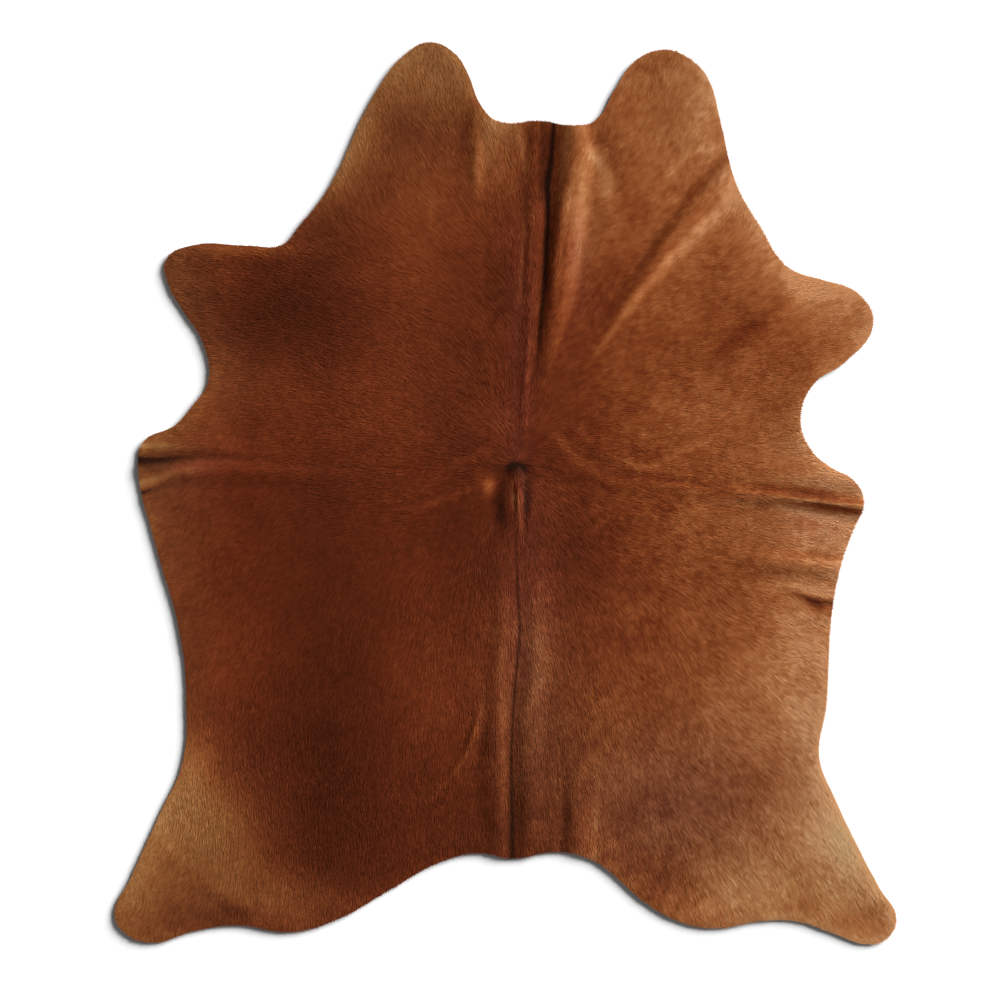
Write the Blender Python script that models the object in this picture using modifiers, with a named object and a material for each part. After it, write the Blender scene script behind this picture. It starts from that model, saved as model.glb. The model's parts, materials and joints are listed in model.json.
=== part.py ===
"""A hair-on cowhide: one whole tanned skin with its coat on, lying flat.

Metres, +Z up. +Y runs from the hind end to the neck and +X to the right flank. The origin is
under the middle of the hide, on the surface that it lies on.
"""

import math
from collections import namedtuple

import bmesh
import bpy
import numpy as np

SHEET_THICKNESS = 0.0045     # 2.5 mm of leather under 2 mm of coat that lies flat on it
GRID_WIDTH = 1.90            # the flat sheet before its outline is cut
GRID_LENGTH = 2.18
GRID_STEP = 0.045            # the sheet's cells where nothing is folded
FOLD_ERROR = 0.0007          # how far an edge may cut across a fold before it is split
SHORTEST_SPLIT = 0.012       # edges under this stay whole
EDGE_PROBES = 5              # places along an edge where the folds are looked at
SPLIT_ROUNDS = 3             # how often the edges are looked at and split
OUTLINE_STEPS = 5            # straight lines that each stretch of the outline becomes
MERGE_DISTANCE = 0.00001     # points closer than this are one
SHARP_ANGLE = 40             # degrees: the cut edge stays sharp and the folds stay soft
HAIR_COLOUR = (0.15, 0.045, 0.017, 1.0)
HAIR_ROUGHNESS = 0.55

# The cut edge, clockwise from the neck: one smooth curve through these places (x, y).
OUTLINE = {
    "left neck lobe": [(-0.225, 1.030), (-0.175, 1.050), (-0.120, 1.025), (-0.092, 0.985), (-0.056, 0.900)],
    "neck": [(-0.018, 0.866), (0.079, 0.867), (0.160, 0.856), (0.205, 0.866)],
    "right neck lobe": [(0.255, 0.943), (0.302, 1.008), (0.370, 1.033), (0.427, 1.012), (0.468, 0.970)],
    "right of the neck": [(0.500, 0.862), (0.535, 0.722), (0.597, 0.612), (0.641, 0.540)],
    "right fore leg": [(0.672, 0.517), (0.732, 0.499), (0.820, 0.465), (0.855, 0.395), (0.788, 0.305)],
    "behind the right fore leg": [(0.716, 0.255), (0.685, 0.175), (0.709, 0.103), (0.756, 0.061)],
    "right flank": [(0.811, 0.029), (0.833, -0.018), (0.808, -0.085), (0.781, -0.160), (0.757, -0.290)],
    "right hock": [(0.746, -0.490), (0.729, -0.615), (0.765, -0.708), (0.832, -0.848)],
    "right hind leg": [(0.871, -0.921), (0.909, -0.990), (0.884, -1.038), (0.838, -1.049), (0.771, -1.027)],
    "right rump": [(0.675, -0.995), (0.590, -0.995), (0.489, -1.011), (0.402, -0.996), (0.314, -0.944)],
    "tail": [(0.232, -0.872), (0.190, -0.848), (0.118, -0.833), (0.015, -0.849), (-0.060, -0.836)],
    "left rump": [(-0.145, -0.854), (-0.275, -0.925), (-0.390, -0.990), (-0.500, -1.020), (-0.630, -1.004)],
    "left hind leg": [(-0.725, -1.018), (-0.829, -1.045), (-0.893, -1.017), (-0.911, -0.975), (-0.876, -0.900)],
    "left hock": [(-0.806, -0.745), (-0.754, -0.630), (-0.744, -0.480), (-0.758, -0.330)],
    "left flank": [(-0.820, -0.100), (-0.856, 0.065), (-0.845, 0.120), (-0.770, 0.159), (-0.729, 0.205)],
    "behind the left fore leg": [(-0.692, 0.262), (-0.706, 0.355), (-0.752, 0.427)],
    "left fore leg": [(-0.787, 0.492), (-0.790, 0.546), (-0.730, 0.578), (-0.600, 0.577), (-0.520, 0.579)],
    "left of the neck": [(-0.480, 0.622), (-0.412, 0.711), (-0.308, 0.925)],
}

# A fold is a soft ridge along its stations. Each has its place, the ridge's height there, and
# how far the ridge reaches to the left and to the right of someone who walks along it.
Station = namedtuple("Station", "x y height left right")
FOLDS = {
    "neck spine, right bank": [
        Station(0.162, 0.900, 0.0120, 0.060, 0.046),
        Station(0.151, 0.747, 0.0120, 0.066, 0.046),
        Station(0.133, 0.658, 0.0110, 0.070, 0.036),
        Station(0.114, 0.523, 0.0090, 0.066, 0.023),
        Station(0.101, 0.409, 0.0060, 0.055, 0.020),
        Station(0.084, 0.264, 0.0000, 0.030, 0.016),
    ],
    "neck spine, left bank": [
        Station(0.078, 0.900, 0.0050, 0.034, 0.034),
        Station(0.067, 0.726, 0.0050, 0.034, 0.034),
        Station(0.062, 0.590, 0.0045, 0.032, 0.030),
        Station(0.052, 0.420, 0.0040, 0.030, 0.026),
        Station(0.040, 0.230, 0.0030, 0.024, 0.024),
        Station(0.030, 0.110, 0.0000, 0.020, 0.020),
    ],
    "right of the neck, diagonal": [
        Station(0.557, 0.800, 0.0080, 0.045, 0.038),
        Station(0.489, 0.719, 0.0085, 0.048, 0.040),
        Station(0.429, 0.656, 0.0085, 0.048, 0.040),
        Station(0.370, 0.584, 0.0075, 0.045, 0.038),
        Station(0.317, 0.502, 0.0060, 0.040, 0.036),
        Station(0.270, 0.432, 0.0045, 0.036, 0.034),
        Station(0.214, 0.345, 0.0000, 0.030, 0.030),
    ],
    "left of the neck, short": [
        Station(-0.070, 0.900, 0.0030, 0.022, 0.022),
        Station(-0.068, 0.760, 0.0030, 0.024, 0.024),
        Station(-0.066, 0.660, 0.0000, 0.022, 0.022),
    ],
    "right fore leg": [
        Station(0.700, 0.490, 0.0000, 0.034, 0.034),
        Station(0.615, 0.404, 0.0035, 0.036, 0.036),
        Station(0.530, 0.336, 0.0040, 0.036, 0.036),
        Station(0.455, 0.290, 0.0000, 0.030, 0.030),
    ],
    "middle, left, fore bank": [
        Station(-0.900, 0.112, 0.0045, 0.042, 0.024),
        Station(-0.740, 0.114, 0.0040, 0.040, 0.022),
        Station(-0.600, 0.104, 0.0000, 0.034, 0.020),
    ],
    "middle, left, hind bank": [
        Station(-0.900, 0.056, 0.0060, 0.028, 0.050),
        Station(-0.735, 0.058, 0.0050, 0.030, 0.050),
        Station(-0.500, 0.047, 0.0035, 0.030, 0.045),
        Station(-0.320, 0.038, 0.0000, 0.024, 0.036),
    ],
    "middle, right, fore bank": [
        Station(0.560, 0.046, 0.0000, 0.050, 0.030),
        Station(0.680, 0.044, 0.0040, 0.060, 0.040),
        Station(0.900, 0.022, 0.0050, 0.060, 0.040),
    ],
    "middle, right, hind bank": [
        Station(0.440, 0.004, 0.0000, 0.016, 0.026),
        Station(0.592, -0.006, 0.0060, 0.017, 0.032),
        Station(0.697, -0.015, 0.0080, 0.018, 0.036),
        Station(0.799, -0.027, 0.0100, 0.022, 0.042),
        Station(0.900, -0.040, 0.0110, 0.024, 0.048),
    ],
    "below the crossing": [
        Station(0.026, 0.052, 0.0045, 0.015, 0.020),
        Station(0.034, -0.020, 0.0060, 0.014, 0.020),
        Station(0.030, -0.095, 0.0000, 0.014, 0.016),
    ],
    "hind spine, left bank": [
        Station(-0.010, -0.130, 0.0000, 0.028, 0.030),
        Station(-0.006, -0.330, 0.0030, 0.038, 0.040),
        Station(-0.022, -0.535, 0.0045, 0.038, 0.045),
        Station(-0.022, -0.691, 0.0045, 0.037, 0.045),
        Station(-0.020, -0.900, 0.0050, 0.036, 0.045),
    ],
    "hind spine, right bank": [
        Station(0.064, -0.130, 0.0000, 0.050, 0.034),
        Station(0.074, -0.330, 0.0035, 0.055, 0.038),
        Station(0.054, -0.535, 0.0040, 0.050, 0.036),
        Station(0.050, -0.900, 0.0050, 0.045, 0.035),
    ],
    "beside the tail": [
        Station(0.176, -0.600, 0.0000, 0.040, 0.026),
        Station(0.166, -0.740, 0.0040, 0.050, 0.030),
        Station(0.160, -0.900, 0.0065, 0.050, 0.030),
    ],
    "left loin, curved": [
        Station(-0.058, -0.450, 0.0000, 0.022, 0.014),
        Station(-0.074, -0.560, 0.0035, 0.024, 0.015),
        Station(-0.105, -0.634, 0.0035, 0.024, 0.015),
        Station(-0.180, -0.725, 0.0000, 0.020, 0.014),
    ],
    "right flank, long": [
        Station(0.520, -0.152, 0.0000, 0.030, 0.040),
        Station(0.627, -0.158, 0.0040, 0.032, 0.044),
        Station(0.850, -0.182, 0.0070, 0.032, 0.046),
    ],
    "right flank, short": [
        Station(0.640, -0.285, 0.0000, 0.028, 0.036),
        Station(0.850, -0.266, 0.0060, 0.028, 0.040),
    ],
    "left flank, short": [
        Station(-0.900, -0.025, 0.0045, 0.020, 0.024),
        Station(-0.770, 0.004, 0.0000, 0.018, 0.020),
    ],
}


def clear_scene():
    for thing in list(bpy.data.objects):
        bpy.data.objects.remove(thing, do_unlink=True)


def new_collection(name):
    collection = bpy.data.collections.new(name)
    bpy.context.scene.collection.children.link(collection)
    return collection


def evaluated_mesh(thing):
    """The object's own mesh with its modifiers worked in, its doubled points merged."""
    graph = bpy.context.evaluated_depsgraph_get()
    mesh = bpy.data.meshes.new_from_object(thing.evaluated_get(graph))
    points = bmesh.new()
    points.from_mesh(mesh)
    bmesh.ops.remove_doubles(points, verts=points.verts, dist=MERGE_DISTANCE)
    points.to_mesh(mesh)
    points.free()
    return mesh


def outline_block(cutters):
    """An upright block with the hide's outline, taller than the sheet that it cuts out."""
    curve = bpy.data.curves.new("outline", "CURVE")
    curve.dimensions = "2D"
    curve.fill_mode = "BOTH"
    curve.extrude = 2 * SHEET_THICKNESS
    curve.resolution_u = OUTLINE_STEPS
    places = [place for stretch in OUTLINE.values() for place in stretch]
    spline = curve.splines.new("BEZIER")
    spline.bezier_points.add(len(places) - 1)
    spline.use_cyclic_u = True
    for point, (x, y) in zip(spline.bezier_points, places):
        point.co = (x, y, 0)
        point.handle_left_type = "AUTO"
        point.handle_right_type = "AUTO"
    drawn = bpy.data.objects.new("outline_curve", curve)
    cutters.objects.link(drawn)
    block = bpy.data.objects.new("outline_block", evaluated_mesh(drawn))
    bpy.data.objects.remove(drawn)
    cutters.objects.link(block)
    block.display_type = "WIRE"
    block.hide_render = True
    return block


def flat_sheet(parts, block):
    """The hide before it is folded: a gridded sheet, cut to the outline."""
    bpy.ops.mesh.primitive_grid_add(
        x_subdivisions=round(GRID_WIDTH / GRID_STEP),
        y_subdivisions=round(GRID_LENGTH / GRID_STEP),
        size=1,
    )
    sheet = bpy.context.object
    sheet.name = "hide"
    sheet.scale = (GRID_WIDTH, GRID_LENGTH, 1)
    bpy.ops.object.transform_apply(location=False, rotation=False, scale=True)
    for collection in list(sheet.users_collection):
        collection.objects.unlink(sheet)
    parts.objects.link(sheet)
    depth = sheet.modifiers.new("thickness", "SOLIDIFY")
    depth.thickness = SHEET_THICKNESS
    depth.offset = 1
    cut = sheet.modifiers.new("outline", "BOOLEAN")
    cut.operation = "INTERSECT"
    cut.solver = "EXACT"
    cut.object = block
    sheet.data = evaluated_mesh(sheet)
    sheet.modifiers.clear()
    return sheet


def lift_along(start, end, places):
    """How high one stretch of a fold, from station to station, stands at each place."""
    run = np.array([end.x - start.x, end.y - start.y])
    from_start = places - [start.x, start.y]
    along = np.clip(from_start @ run / (run @ run), 0, 1)
    away = from_start - along[:, None] * run
    on_left = run[0] * away[:, 1] - run[1] * away[:, 0] > 0
    left = start.left + along * (end.left - start.left)
    right = start.right + along * (end.right - start.right)
    height = start.height + along * (end.height - start.height)
    part_way = np.minimum(np.hypot(*away.T) / np.where(on_left, left, right), 1)
    return height * (0.5 + 0.5 * np.cos(math.pi * part_way))


def sheet_lift(places):
    """How high the folds raise the sheet at each place, an array of x and y."""
    lift = np.zeros(len(places))
    for stations in FOLDS.values():
        runs = [lift_along(start, end, places) for start, end in zip(stations, stations[1:])]
        lift += np.max(runs, axis=0)
    return lift


def edges_to_split(skin):
    """The edges that cut across a fold by more than the allowed error."""
    edges = [edge for edge in skin.edges if edge.calc_length() > SHORTEST_SPLIT]
    ends = np.array([[corner.co[:2] for corner in edge.verts] for edge in edges])
    lifts = [sheet_lift(ends[:, 0]), sheet_lift(ends[:, 1])]
    error = np.zeros(len(edges))
    for probe in range(1, EDGE_PROBES + 1):
        share = probe / (EDGE_PROBES + 1)
        there = sheet_lift(ends[:, 0] + share * (ends[:, 1] - ends[:, 0]))
        straight = lifts[0] + share * (lifts[1] - lifts[0])
        error = np.maximum(error, abs(there - straight))
    return [edge for edge, off in zip(edges, error) if off > FOLD_ERROR]


def fold(sheet):
    """Splits the flat sheet finely where its folds run, and raises them."""
    skin = bmesh.new()
    skin.from_mesh(sheet.data)
    bmesh.ops.triangulate(skin, faces=skin.faces)
    for _ in range(SPLIT_ROUNDS):
        bmesh.ops.subdivide_edges(skin, edges=edges_to_split(skin), cuts=1)
        bmesh.ops.triangulate(skin, faces=skin.faces)
    lifts = sheet_lift(np.array([corner.co[:2] for corner in skin.verts]))
    for corner, lift in zip(skin.verts, lifts):
        corner.co.z += lift
    skin.to_mesh(sheet.data)
    skin.free()


def centre(sheet):
    """Moves the sheet so that the middle of its outline is over the origin."""
    corners = np.array([corner.co[:] for corner in sheet.data.vertices])
    middle = (corners.min(axis=0) + corners.max(axis=0)) / 2
    for corner in sheet.data.vertices:
        corner.co.x -= middle[0]
        corner.co.y -= middle[1]


def hair_material():
    material = bpy.data.materials.new("brown coat")
    material.use_nodes = True
    surface = material.node_tree.nodes["Principled BSDF"]
    surface.inputs["Base Color"].default_value = HAIR_COLOUR
    surface.inputs["Roughness"].default_value = HAIR_ROUGHNESS
    surface.inputs["Metallic"].default_value = 0.0
    return material


def main():
    clear_scene()
    parts = new_collection("cowhide")
    cutters = new_collection("cutters")
    sheet = flat_sheet(parts, outline_block(cutters))
    fold(sheet)
    centre(sheet)
    sheet.data.shade_smooth()
    sheet.data.set_sharp_from_angle(angle=math.radians(SHARP_ANGLE))
    sheet.data.materials.clear()
    sheet.data.materials.append(hair_material())


if __name__ == "__main__":
    main()
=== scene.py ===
"""A hair-on cowhide: the tanned skin, its short coat and the floor that it lies on.

The file is laid out as a Blender add-on. Run as a script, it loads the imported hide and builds
the skin, the coat and the stage around it.
"""

import json
import math

import bpy
import numpy as np
from bpy.props import FloatProperty, FloatVectorProperty, IntProperty, PointerProperty
from mathutils import Matrix, Vector, kdtree

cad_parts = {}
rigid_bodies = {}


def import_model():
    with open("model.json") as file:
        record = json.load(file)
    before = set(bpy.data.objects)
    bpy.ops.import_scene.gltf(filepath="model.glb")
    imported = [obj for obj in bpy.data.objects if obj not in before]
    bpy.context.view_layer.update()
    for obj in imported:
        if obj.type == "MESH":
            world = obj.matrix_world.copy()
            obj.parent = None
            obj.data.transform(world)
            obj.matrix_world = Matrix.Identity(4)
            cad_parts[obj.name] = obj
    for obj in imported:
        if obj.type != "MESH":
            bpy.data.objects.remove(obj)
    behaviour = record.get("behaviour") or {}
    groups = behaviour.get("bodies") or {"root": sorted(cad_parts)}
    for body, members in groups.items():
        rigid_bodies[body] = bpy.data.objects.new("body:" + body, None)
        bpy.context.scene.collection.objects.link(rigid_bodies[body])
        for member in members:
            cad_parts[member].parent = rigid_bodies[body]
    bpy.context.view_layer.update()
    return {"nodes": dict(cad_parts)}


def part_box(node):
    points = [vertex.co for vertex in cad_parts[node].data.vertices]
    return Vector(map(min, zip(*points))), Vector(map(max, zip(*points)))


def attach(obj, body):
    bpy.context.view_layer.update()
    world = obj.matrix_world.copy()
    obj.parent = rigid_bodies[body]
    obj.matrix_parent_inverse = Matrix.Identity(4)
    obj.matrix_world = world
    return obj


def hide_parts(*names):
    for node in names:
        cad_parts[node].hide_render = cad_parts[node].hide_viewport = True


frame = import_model()
SOLID_LOW, SOLID_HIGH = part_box("hide")

bl_info = {
    "name": "Hair-on Cowhide",
    "version": (1, 0, 0),
    "blender": (4, 5, 0),
    "location": "3D Viewport > Sidebar > Cowhide",
    "description": "Builds a hair-on cowhide lying flat: skin, coat and stage",
    "category": "Object",
}

# ---------------------------------------------------------------- the hide's places

# The tables are in millimetres from the hide's middle, x towards the right flank and y towards
# the neck. What is worked out from them is in metres.
MM = 1000

# Folds. Each is a soft ridge along its stations, and a station is a row of its x and y, the
# ridge's height there, and how far the ridge reaches to the left and to the right of someone
# who walks along it.
FOLDS = {
    "neck spine, right bank": [
        (162, 900, 12, 60, 46), (151, 747, 12, 66, 46), (133, 658, 11, 70, 36), (114, 523, 9, 66, 23),
        (101, 409, 6, 55, 20), (84, 264, 0, 30, 16),
    ],
    "neck spine, left bank": [
        (78, 900, 5, 34, 34), (67, 726, 5, 34, 34), (62, 590, 4.5, 32, 30), (52, 420, 4, 30, 26),
        (40, 230, 3, 24, 24), (30, 110, 0, 20, 20),
    ],
    "right of the neck, diagonal": [
        (557, 800, 8, 45, 38), (489, 719, 8.5, 48, 40), (429, 656, 8.5, 48, 40), (370, 584, 7.5, 45, 38),
        (317, 502, 6, 40, 36), (270, 432, 4.5, 36, 34), (214, 345, 0, 30, 30),
    ],
    "left of the neck, short": [
        (-70, 900, 3, 22, 22), (-68, 760, 3, 24, 24), (-66, 660, 0, 22, 22),
    ],
    "right fore leg": [
        (700, 490, 0, 34, 34), (615, 404, 3.5, 36, 36), (530, 336, 4, 36, 36), (455, 290, 0, 30, 30),
    ],
    "middle, left, fore bank": [
        (-900, 112, 4.5, 42, 24), (-740, 114, 4, 40, 22), (-600, 104, 0, 34, 20),
    ],
    "middle, left, hind bank": [
        (-900, 56, 6, 28, 50), (-735, 58, 5, 30, 50), (-500, 47, 3.5, 30, 45), (-320, 38, 0, 24, 36),
    ],
    "middle, right, fore bank": [
        (560, 46, 0, 50, 30), (680, 44, 4, 60, 40), (900, 22, 5, 60, 40),
    ],
    "middle, right, hind bank": [
        (440, 4, 0, 16, 26), (592, -6, 6, 17, 32), (697, -15, 8, 18, 36), (799, -27, 10, 22, 42),
        (900, -40, 11, 24, 48),
    ],
    "below the crossing": [
        (26, 52, 4.5, 15, 20), (34, -20, 6, 14, 20), (30, -95, 0, 14, 16),
    ],
    "hind spine, left bank": [
        (-10, -130, 0, 28, 30), (-6, -330, 3, 38, 40), (-22, -535, 4.5, 38, 45), (-22, -691, 4.5, 37, 45),
        (-20, -900, 5, 36, 45),
    ],
    "hind spine, right bank": [
        (64, -130, 0, 50, 34), (74, -330, 3.5, 55, 38), (54, -535, 4, 50, 36), (50, -900, 5, 45, 35),
    ],
    "beside the tail": [
        (176, -600, 0, 40, 26), (166, -740, 4, 50, 30), (160, -900, 6.5, 50, 30),
    ],
    "left loin, curved": [
        (-58, -450, 0, 22, 14), (-74, -560, 3.5, 24, 15), (-105, -634, 3.5, 24, 15),
        (-180, -725, 0, 20, 14),
    ],
    "right flank, long": [
        (520, -152, 0, 30, 40), (627, -158, 4, 32, 44), (850, -182, 7, 32, 46),
    ],
    "right flank, short": [
        (640, -285, 0, 28, 36), (850, -266, 6, 28, 40),
    ],
    "left flank, short": [
        (-900, -25, 4.5, 20, 24), (-770, 4, 0, 18, 20),
    ],
    "left of the crossing, low": [
        (-290, -60, 0, 24, 24), (-190, -36, 2, 26, 24), (-90, 6, 2, 24, 22), (-20, 30, 0, 18, 18),
    ],
    "right of the crossing, low": [
        (110, 165, 0, 24, 24), (205, 105, 2.2, 28, 26), (300, 70, 0, 24, 24),
    ],
    "middle, right, low": [
        (80, 44, 0, 18, 30), (280, 30, 1.6, 20, 34), (440, 10, 1.8, 18, 30), (520, -20, 0, 18, 26),
    ],
}

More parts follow.
